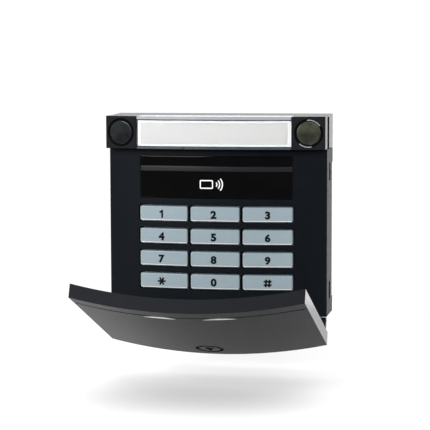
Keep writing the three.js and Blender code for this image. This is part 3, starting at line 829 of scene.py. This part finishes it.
def key_cap(name):
    """One key: a softly rounded cap, its flange and its stem."""
    node = f"key_{name}"
    x, z = KEY_CENTRES[name]
    half_x, half_z = KEY_WIDTH / 2, KEY_HEIGHT / 2
    back = BODY_DEPTH - WALL - GAP - 0.8 * MM
    cap = rounded_bar(
        x - half_x, x + half_x, z - half_z, z + half_z, KEY_CORNER, back, BODY_DEPTH + KEY_PROUD
    )
    piece = to_object(f"cap_{name}", cap)
    round_edges(piece, 0.48 * MM, 4)
    flange_x, flange_z = half_x - 0.1 * MM, half_z + 0.9 * MM
    flange = flat_box(
        x - flange_x, x + flange_x, back + 0.01 * MM, back + 0.8 * MM, z - flange_z, z + flange_z
    )
    stem_end = -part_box(node)[1].y
    stem = flat_box(x - 3 * MM, x + 3 * MM, stem_end, back + 0.5 * MM, z - 2 * MM, z + 2 * MM)
    combine(piece, [flange, stem], "UNION")
    bend(piece, stem_end + 0.5 * MM, back - 1 * MM)
    finished(smooth(piece), KEY_PLASTIC, node, "key_plastic", node)
    # painted highlight: the left and lower rounded edges of the key are painted pale
    paint_faces(piece, KEY_EDGE_PAINTED_HIGHLIGHT, on_painted_highlight_key_edge)
    # painted shade: the top and right rounded edges of the key are painted darker
    paint_faces(piece, KEY_EDGE_PAINTED_SHADE, lambda centre, normal: normal.y < -0.1 and max(normal.x, normal.z) > 0.3)
    return piece


# ------------------------------------------------------------------ legends
LEGEND_HEIGHT = 3.75 * MM
LEGEND_DROP = 0.3 * MM
LEGEND_THICKNESS = 0.03 * MM
LEGEND_WEIGHT = 0.055
LEGEND_SHIFT = {0: -1.15 * MM, 1: -0.65 * MM, 2: 0.0}


def plate(points, thickness=LEGEND_THICKNESS):
    """A thin flat plate in X and Z with the given outline, from y = 0 to y = -thickness."""
    mesh = bmesh.new()
    back = [mesh.verts.new((x, 0, z)) for x, z in points]
    front = [mesh.verts.new((x, -thickness, z)) for x, z in points]
    mesh.faces.new(back)
    mesh.faces.new(front)
    for i in range(len(points)):
        j = (i + 1) % len(points)
        mesh.faces.new((back[i], back[j], front[j], front[i]))
    bmesh.ops.recalc_face_normals(mesh, faces=mesh.faces)
    return mesh


def bar(length, width, angle, centre=(0, 0)):
    """Outline of a straight stroke."""
    c, s = math.cos(angle), math.sin(angle)
    u, v = length / 2, width / 2
    corners = [(-u, -v), (u, -v), (u, v), (-u, v)]
    return [(centre[0] + x * c - z * s, centre[1] + x * s + z * c) for x, z in corners]


def star_sign():
    strokes = [plate(bar(3.8 * MM, 0.85 * MM, math.radians(60 * i))) for i in range(3)]
    return shape("sign", strokes[0], strokes[1:])


def hash_sign():
    lean = math.radians(86)
    strokes = [plate(bar(3.5 * MM, 0.84 * MM, lean, (i * 0.76 * MM, 0))) for i in (-1, 1)]
    strokes += [plate(bar(3.7 * MM, 0.8 * MM, 0, (0, i * 0.8 * MM))) for i in (-1, 1)]
    return shape("sign", strokes[0], strokes[1:])


def one_sign():
    stem = plate(bar(LEGEND_HEIGHT, 0.88 * MM, math.radians(90), (0.4 * MM, 0)))
    flag = plate(bar(1.5 * MM, 0.75 * MM, math.radians(32), (-0.2 * MM, 1.05 * MM)))
    return shape("sign", stem, [flag])


def digit_sign(text):
    curve = bpy.data.curves.new("sign", "FONT")
    curve.body = text
    curve.size = 1
    curve.offset = LEGEND_WEIGHT
    curve.extrude = 0.02
    curve.resolution_u = 6
    written = new_object("sign", curve)
    bpy.context.view_layer.update()
    data = bpy.data.meshes.new_from_object(written.evaluated_get(bpy.context.evaluated_depsgraph_get()))
    bpy.data.objects.remove(written)
    xs = [vertex.co.x for vertex in data.vertices]
    ys = [vertex.co.y for vertex in data.vertices]
    scale = LEGEND_HEIGHT / (max(ys) - min(ys))
    middle_x, middle_y = (max(xs) + min(xs)) / 2, (max(ys) + min(ys)) / 2
    for vertex in data.vertices:
        across, up, out = vertex.co
        vertex.co = (
            (across - middle_x) * scale * 1.1,
            -(out / 0.02 + 1) / 2 * LEGEND_THICKNESS,
            (up - middle_y) * scale,
        )
    mesh = bmesh.new()
    mesh.from_mesh(data)
    bmesh.ops.remove_doubles(mesh, verts=mesh.verts, dist=1e-6)
    mesh.to_mesh(data)
    mesh.free()
    return new_object("sign", data)


def lay_on_front(piece, x, z, depth):
    """Stands a thin sign on the bowed front at x and z, turned to face as the surface does there."""
    place = Matrix.Translation((x, front_y(x, depth) + 0.005 * MM, z))
    piece.data.transform(place @ Matrix.Rotation(math.asin(x / BOW_RADIUS), 4, "Z"))
    return piece


def legend(name, column):
    signs = {"star": star_sign, "hash": hash_sign, "1": one_sign}
    piece = signs[name]() if name in signs else digit_sign(name)
    piece.name = f"legend_{name}"
    x, z = KEY_CENTRES[name]
    lay_on_front(piece, x + LEGEND_SHIFT[column], z - LEGEND_DROP, BODY_DEPTH + KEY_PROUD)
    return finished(piece, BLACK_INK, f"key_{name}", "black_moulding")


def arc_stroke(radius, width, half_angle, centre, steps=14):
    """Outline of an arc-shaped stroke that opens to the left, about a centre."""
    angles = [-half_angle + 2 * half_angle * i / steps for i in range(steps + 1)]
    outer, inner = (
        [(centre[0] + reach * math.cos(a), centre[1] + reach * math.sin(a)) for a in angles]
        for reach in (radius + width / 2, radius - width / 2)
    )
    return outer + inner[::-1]


def reader_sign():
    """A plain sign for holding a tag to the window: a card with three waves beside it."""
    stroke = 0.5 * MM
    x0, x1, half_z = -6.5 * MM, -0.3 * MM, 2 * MM
    outside = rounded_bar(x0, x1, -half_z, half_z, 0.6 * MM, 0, LEGEND_THICKNESS)
    inside = rounded_bar(x0 + stroke, x1 - stroke, stroke - half_z, half_z - stroke, 0.3 * MM, -MM, MM)
    card = shape("reader_sign", outside, [], [inside])
    waves = [
        plate(arc_stroke((1.4 + 1.3 * i) * MM, stroke, math.radians(42), (0.1 * MM, 0))) for i in range(3)
    ]
    card = combine(card, waves, "UNION")
    lay_on_front(card, -0.6 * MM, 16.6 * MM, BODY_DEPTH - 0.1 * MM)
    return finished(card, WHITE_INK, "root", "label_paper")


# ------------------------------------------------------------------ control segment
def in_button_ring(centre, normal):
    """Whether a face of the button blocks is in the groove round a button, which is painted near-black as
    shade.
    """
    if not off_the_bow(centre, normal):
        return False
    away = math.hypot(abs(centre.x) - BUTTON_X, centre.z - BUTTON_Z)
    return abs(away - RING_RADIUS) < RING_DEPTH and -centre.y > SEGMENT_DEPTH - RING_DEPTH


def on_painted_arc_highlight(centre, normal):
    """Whether a face of the right groove belongs to one of its two pale arcs of painted highlight, which both
    face up.
    """
    if not in_button_ring(centre, normal) or centre.x < 0:
        return False
    around = math.degrees(math.atan2(centre.x - BUTTON_X, centre.z - BUTTON_Z))
    outer_wall = math.hypot(centre.x - BUTTON_X, centre.z - BUTTON_Z) > RING_RADIUS
    return (not outer_wall and -8 < around < 55) or (outer_wall and (around > 168 or around < -140))


def segment_front():
    """The dark moulding: a button block at each end and the bed of the label between them."""
    bed = SEGMENT_DEPTH - COVER_WALL - LABEL_THICKNESS - 3 * GAP
    bed_x = COVER_HALF_WIDTH + GAP
    rebate = COVER_WALL + GAP / 2
    base = flat_box(-HALF_WIDTH, HALF_WIDTH, SEGMENT_LIP, SEGMENT_DEPTH, SEGMENT_BOTTOM, SEGMENT_TOP)
    recess = flat_box(-bed_x, bed_x, bed, SEGMENT_DEPTH + MM, SEGMENT_BOTTOM - MM, SEGMENT_TOP + MM)
    heights = [(SEGMENT_TOP - rebate, SEGMENT_TOP + MM), (SEGMENT_BOTTOM - MM, SEGMENT_BOTTOM + rebate)]
    rebates = [flat_box(-bed_x, bed_x, SEGMENT_LIP - MM, SEGMENT_DEPTH + MM, *ends) for ends in heights]
    hollow = flat_box(
        -33 * MM, 33 * MM, SEGMENT_LIP - MM, bed - 1.5 * MM, SEGMENT_BOTTOM + 3.5 * MM, SEGMENT_TOP - 3.5 * MM
    )
    places = both_sides(lambda side: (side * BUTTON_X, BUTTON_Z))
    bores = [rod("y", place, -SEGMENT_DEPTH - MM, -SEGMENT_LIP + MM, BUTTON_BORE, 64) for place in places]
    rings = [wedge_ring(x, -SEGMENT_DEPTH, z, RING_RADIUS, RING_DEPTH) for x, z in places]
    pockets = [
        rod("y", place, -SEGMENT_DEPTH + 3 * MM, -SEGMENT_LIP + MM, POCKET_RADIUS, 64) for place in places
    ]
    piece = shape("button_blocks", base, [], [recess, *rebates, hollow, *bores, *pockets])
    round_edges(piece, 0.25 * MM, 3)
    combine(piece, rings, "DIFFERENCE")
    bend(piece, SEGMENT_LIP + 0.8 * MM, SEGMENT_DEPTH - 4 * MM)
    finished(smooth(piece), SEGMENT_PLASTIC, "root", "gloss_housing", "segment_front")
    # painted shade: the groove round each button is painted near-black
    paint_faces(piece, RECESS_PAINTED_SHADE, in_button_ring)
    # painted highlight: two arcs in the right button's groove are painted pale
    paint_faces(piece, ARC_PAINTED_HIGHLIGHT, on_painted_arc_highlight)
    paint_faces(piece, SEGMENT_TOP_PLASTIC, lambda centre, normal: normal.z > 0.9)
    return piece


def segment_base():
    """The moulding behind the button blocks: its top slopes down to theirs, and a strip bridges the neck."""
    node = frame["nodes"]["segment_base"]
    data = node.data.copy()
    data.transform(node.matrix_world)
    piece = new_object("segment_rear", data)
    for vertex in data.vertices:
        if vertex.co.z > SEGMENT_TOP and vertex.co.y < -10 * MM:
            vertex.co.z = SEGMENT_TOP
    weld = piece.modifiers.new("weld", "WELD")
    weld.merge_threshold = 0.001 * MM
    settle(piece)
    strip = flat_box(
        -HALF_WIDTH, HALF_WIDTH, 12 * MM, SEGMENT_LIP - GAP / 2, SEGMENT_TOP - 0.5 * MM, SEGMENT_TOP
    )
    combine(piece, [strip], "UNION")
    round_edges(piece, 0.2 * MM, 2, 40)
    finished(smooth(piece), SEGMENT_PLASTIC, "root", "gloss_housing", "segment_base")
    paint_faces(piece, SEGMENT_TOP_PLASTIC, lambda centre, normal: normal.z > 0.9)
    return piece


def clear_cover():
    """The clear cover over the label: a bowed front with a lip along its top and its bottom."""
    base = flat_box(
        -COVER_HALF_WIDTH, COVER_HALF_WIDTH, SEGMENT_LIP, SEGMENT_DEPTH, SEGMENT_BOTTOM, SEGMENT_TOP
    )
    inside = flat_box(
        -COVER_HALF_WIDTH - MM,
        COVER_HALF_WIDTH + MM,
        SEGMENT_LIP - MM,
        SEGMENT_DEPTH - COVER_WALL,
        SEGMENT_BOTTOM + COVER_WALL,
        SEGMENT_TOP - COVER_WALL,
    )
    piece = shape("label_window", base, [], [inside])
    round_edges(piece, 0.2 * MM, 3)
    slice_across(piece, (COVER_FOOT, COVER_HEAD))
    bend(piece, SEGMENT_LIP + 0.8 * MM, SEGMENT_DEPTH - 4 * MM)
    finished(smooth(piece), CLEAR_PLASTIC, "root", "clear_plastic", "clear_cover")
    # painted light: the cover's bottom lip is painted teal and its top lip pale grey as a highlight
    paint_faces(piece, COVER_FOOT_PAINTED_LIGHT, lambda centre, normal: centre.z < COVER_FOOT)
    paint_faces(piece, COVER_HEAD_PAINTED_HIGHLIGHT, lambda centre, normal: centre.z > COVER_HEAD)
    return piece


def label_strip():
    """The label: a pale strip with a whiter margin, both with a faint painted glow, stronger on the margin.
    """
    low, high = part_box("label_strip")
    depth = SEGMENT_DEPTH - COVER_WALL - GAP
    end_margin = 1.3 * MM
    margin = 0.9 * MM
    sheet = rounded_bar(low.x, high.x, low.z, high.z, 0.3 * MM, depth - LABEL_THICKNESS, depth - 0.02 * MM)
    edge = bend(to_object("label_margin", sheet), MM, 10 * MM)
    finished(smooth(edge), LABEL_EDGE, "root", "label_paper", "label_strip")
    field = rounded_bar(
        low.x + end_margin,
        high.x - end_margin,
        low.z + margin,
        high.z - margin,
        0.2 * MM,
        depth - 0.1 * MM,
        depth,
    )
    field = bend(to_object("label_field", field), MM, 10 * MM)
    return finished(smooth(field), LABEL_PAPER, "root", "label_paper")


def round_button(hand, side):
    """One smoked button: a lens with a rolled edge, the collar behind it and its stem."""
    node = f"button_{hand}"
    place = (side * BUTTON_X, BUTTON_Z)
    low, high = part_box(node)
    face = SEGMENT_DEPTH - 0.02 * MM
    collar = SEGMENT_DEPTH - 3.4 * MM
    stem_end = -high.y
    lens = rod("y", place, -face, -collar, BUTTON_RADIUS, 72)
    piece = to_object(f"lens_{hand}", lens)
    round_edges(piece, 0.55 * MM, 5, 50)
    flange = rod("y", place, -collar - 0.1 * MM, -collar + 1 * MM, FLANGE_RADIUS, 64)
    stem = rod("y", place, -collar, -stem_end, STEM_RADIUS, 32)
    combine(piece, [flange, stem], "UNION")
    bend(piece, stem_end + 2 * MM, collar - 2 * MM)
    return finished(smooth(piece), SMOKED_LENS[hand], node, "smoked_plastic", node)


# ------------------------------------------------------------------ flap
def open_flap(piece):
    """Turns a piece that was made on the closed flap to the open rest position."""
    swing = Matrix.Rotation(FLAP_OPEN, 4, "X")
    turn = Matrix.Translation(FLAP_HINGE) @ swing @ Matrix.Translation(-FLAP_HINGE)
    piece.data.transform(turn)
    return piece


def finger_grip(side):
    """A wedge-shaped scoop for a fingertip: it ends in a ledge that faces the free edge."""
    radius = (GRIP_HALF_WIDTH**2 + GRIP_DEPTH**2) / (2 * GRIP_DEPTH)
    ledge = FLAP_TOP - GRIP_DROP
    centre = (side * GRIP_X, -SEGMENT_DEPTH - radius + GRIP_DEPTH)
    return rod("z", centre, ledge, ledge + GRIP_HEIGHT, radius, 360, radius - GRIP_DEPTH)


def on_grip_ledge(centre, normal):
    """Whether a face of the closed flap is a ledge of one of its finger grips, which is painted near-white as
    a highlight.
    """
    near = abs(centre.z - FLAP_TOP + GRIP_DROP) < 0.3 * MM
    return near and normal.z > 0.8 and abs(abs(centre.x) - GRIP_X) < GRIP_HALF_WIDTH


def keyhole_sign():
    """A plain keyhole in a ring, cut into the flap near its hinge."""
    deep = SEGMENT_DEPTH - 0.45 * MM
    outside = rod("y", (SIGN_X, SIGN_Z), -SEGMENT_DEPTH - MM, -deep, SIGN_RADIUS, 64)
    inside = rod("y", (SIGN_X, SIGN_Z), -SEGMENT_DEPTH - 2 * MM, -deep + MM, SIGN_RADIUS - SIGN_STROKE, 64)
    rim = shape("sign", outside, [], [inside])
    hole = rod("y", (SIGN_X, SIGN_Z + 1.2 * MM), -SEGMENT_DEPTH - MM, -deep, 1.9 * MM, 32)
    slot = flat_box(
        SIGN_X - 0.8 * MM, SIGN_X + 0.8 * MM, deep, SEGMENT_DEPTH + MM, SIGN_Z - 3.2 * MM, SIGN_Z + 1 * MM
    )
    combine(rim, [hole, slot], "UNION")
    mesh = bmesh.new()
    mesh.from_mesh(rim.data)
    bpy.data.objects.remove(rim)
    return mesh


def in_keyhole_sign(centre, normal):
    """Whether a face of the closed flap is in the cut of the keyhole sign."""
    near = math.hypot(centre.x - SIGN_X, centre.z - SIGN_Z) < SIGN_RADIUS + 0.05 * MM
    surface, bottom = front_y(centre.x, SEGMENT_DEPTH), front_y(centre.x, SEGMENT_DEPTH - MM)
    return near and surface + 0.03 * MM < centre.y < bottom


def hinge_arms(back):
    """The arms at the flap's foot and the knuckles that they end in."""
    arms, knuckles = [], []
    for side in (-1, 1):
        ends = ordered(side * ARM_INNER_X, side * ARM_OUTER_X)
        arm_top = FLAP_HINGE.z + KNUCKLE_RADIUS - 0.01 * MM
        arms.append(flat_box(*ends, -FLAP_HINGE.y, back + MM, FLAP_BOTTOM + 0.01 * MM, arm_top))
        knuckles.append(rod("x", (FLAP_HINGE.y, FLAP_HINGE.z), *ends, KNUCKLE_RADIUS, 32))
    return arms + knuckles


def flap_cover():
    """The bowed flap: a skin with a rim behind it, hinge arms at its foot and finger grips near its edge."""
    back = SEGMENT_DEPTH - FLAP_THICKNESS
    base = flat_box(-HALF_WIDTH, HALF_WIDTH, back, SEGMENT_DEPTH, FLAP_BOTTOM, FLAP_TOP)
    hollow = flat_box(
        -HALF_WIDTH + FLAP_RIM,
        HALF_WIDTH - FLAP_RIM,
        back - MM,
        SEGMENT_DEPTH - FLAP_SKIN,
        FLAP_BOTTOM + FLAP_RIM,
        FLAP_TOP - FLAP_RIM,
    )
    groove = flat_box(
        -HALF_WIDTH + 1 * MM,
        HALF_WIDTH - 1 * MM,
        SEGMENT_DEPTH - GROOVE_DEPTH / 2,
        SEGMENT_DEPTH + MM,
        FLAP_TOP - GROOVE_DROP - GROOVE_WIDTH,
        FLAP_TOP - GROOVE_DROP,
    )
    piece = shape("flap_shell", base, [], [hollow, groove])
    round_edges(piece, 0.35 * MM, 4)
    combine(piece, hinge_arms(back), "UNION")
    bores = pin_bores(ARM_INNER_X, ARM_OUTER_X)
    combine(piece, [*bores, *both_sides(finger_grip), keyhole_sign()], "DIFFERENCE")
    bend(piece, -FLAP_HINGE.y + 1.4 * MM, back)
    finished(smooth(piece), GLOSS_PLASTIC, "flap", "gloss_housing", "flap_cover")
    paint_faces(piece, FLAP_FACE, lambda centre, normal: abs(normal.x) < 0.7)
    # painted highlight: the ledges of the finger grips are painted near-white
    paint_faces(piece, GRIP_LEDGE_PAINTED_HIGHLIGHT, on_grip_ledge)
    # painted shade: the cut of the keyhole sign is painted near-black
    paint_faces(piece, RECESS_PAINTED_SHADE, in_keyhole_sign)
    return open_flap(piece)


# ------------------------------------------------------------------ CAD nodes that are kept
def keep(node, material, edge=0.15 * MM):
    """A CAD node that keeps its shape: its own material, welded, with fine bevelled edges unless edge is 0.
    """
    piece = frame["nodes"][node]
    piece.data.materials.clear()
    piece.data.materials.append(material)
    weld = piece.modifiers.new("weld", "WELD")
    weld.merge_threshold = 0.001 * MM
    if edge:
        bevel = piece.modifiers.new("edges", "BEVEL")
        bevel.width = edge
        bevel.segments = 2
        bevel.limit_method = "ANGLE"
        bevel.angle_limit = math.radians(40)


def kept_nodes():
    rear = rear_plastic()
    board = circuit_board()
    black = moulded("black_moulding", (0.012, 0.012, 0.013), 0.45).material
    steel = metal("steel", (0.62, 0.63, 0.65), 0.3, (1, 1, 6))
    keep("wall_plate", rear)
    for node in ("main_board", "segment_board"):
        keep(node, board, 0)
    keep("keypad_membrane", moulded("silicone", (0.55, 0.57, 0.58), 0.6, grain_depth=0.01 * MM).material, 0)
    keep("reader_aerial", metal("copper", (0.75, 0.38, 0.2), 0.3, (8, 1, 1)), 0)
    keep("terminal_block", moulded("terminal_plastic", (0.03, 0.22, 0.08), 0.4).material)
    keep("tamper_plunger", moulded("plunger_plastic", (0.8, 0.8, 0.78), 0.4).material, 0)
    for node in (
        "microcontroller",
        "buzzer",
        "segment_connector",
        "tamper_switch",
        "button_switch_left",
        "button_switch_right",
    ):
        keep(node, black)
    led = moulded("led_lens", (0.85, 0.84, 0.75), 0.2).material
    for hand in ("left", "right"):
        keep(f"status_led_{hand}", led)
        keep(f"segment_screw_{hand}", steel, 0)
        keep(f"hinge_pin_{hand}", steel, 0)
        keep(f"board_screw_top_{hand}", steel, 0)
        keep(f"board_screw_bottom_{hand}", steel, 0)
    keep("lock_screw", steel, 0)


# ------------------------------------------------------------------ studio
def make_floor():
    """A pale round table."""
    table = to_object("floor", rod("z", (0, 0), FLOOR_Z - 20 * MM, FLOOR_Z, FLOOR_RADIUS, 128))
    nodes = Nodes("floor_paper")
    tone = nodes.ramp(nodes.noise(40 * MM), [(0.87, 0.87, 0.87), (0.89, 0.89, 0.89)])
    nodes.link(tone, nodes.shader.inputs["Base Color"])
    nodes.shader.inputs["Roughness"].default_value = 0.9
    nodes.shader.inputs["Specular IOR Level"].default_value = 0
    table.data.materials.append(nodes.material)


def step_along(tree, source, start, end, low, high):
    """A smooth step from low to high, as source goes from start to end."""
    node = tree.nodes.new("ShaderNodeMapRange")
    node.interpolation_type = "SMOOTHSTEP"
    node.inputs["From Min"].default_value = start
    node.inputs["From Max"].default_value = end
    node.inputs["To Min"].default_value = low
    node.inputs["To Max"].default_value = high
    tree.links.new(source, node.inputs["Value"])
    return node.outputs["Result"]


def make_world():
    """A bright tent behind, above and beside the panel, with a dark opening in front of it."""
    world = bpy.data.worlds.new("studio")
    bpy.context.scene.world = world
    world.use_nodes = True
    tree = world.node_tree
    background = tree.nodes["Background"]
    place = tree.nodes.new("ShaderNodeTexCoord")
    split = tree.nodes.new("ShaderNodeSeparateXYZ")
    tree.links.new(place.outputs["Generated"], split.inputs["Vector"])
    opening = step_along(tree, split.outputs["Y"], -0.8, -0.3, TENT_DARK, TENT_SIDES)
    backdrop = step_along(tree, split.outputs["Y"], 0.8, 0.95, 0, TENT_BACK - TENT_SIDES)
    light = tree.nodes.new("ShaderNodeMath")
    tree.links.new(opening, light.inputs[0])
    tree.links.new(backdrop, light.inputs[1])
    ray = tree.nodes.new("ShaderNodeLightPath")
    seen = tree.nodes.new("ShaderNodeMix")
    seen.inputs["B"].default_value = BACKDROP_SEEN
    tree.links.new(ray.outputs["Is Camera Ray"], seen.inputs["Factor"])
    tree.links.new(light.outputs["Value"], seen.inputs["A"])
    tree.links.new(seen.outputs["Result"], background.inputs["Strength"])
    background.inputs["Color"].default_value = (1, 1, 1, 1)


def softbox(name, side, power):
    """A square softbox in front of the panel and above it, aimed at the origin."""
    place = Vector((side * SOFTBOX_AWAY[0], SOFTBOX_AWAY[1], SOFTBOX_AWAY[2]))
    data = bpy.data.lights.new(name, "AREA")
    data.shape = "RECTANGLE"
    data.size = data.size_y = SOFTBOX_SIZE
    data.energy = power
    light = bpy.data.objects.new(name, data)
    bpy.context.scene.collection.objects.link(light)
    light.location = place
    light.rotation_euler = (-place).to_track_quat("-Z", "Y").to_euler()


def make_studio():
    make_floor()
    make_world()
    softbox("left", -1, SOFTBOX_LEFT_POWER)
    softbox("right", 1, SOFTBOX_RIGHT_POWER)
    bpy.context.scene.view_settings.view_transform = "Standard"


# ------------------------------------------------------------------ assembly
front_housing()
window_panel()
for row in KEY_NAMES:
    for column, key_name in enumerate(row):
        key_cap(key_name)
        legend(key_name, column)
reader_sign()
segment_front()
segment_base()
clear_cover()
label_strip()
round_button("left", -1)
round_button("right", 1)
flap_cover()
kept_nodes()
make_studio()
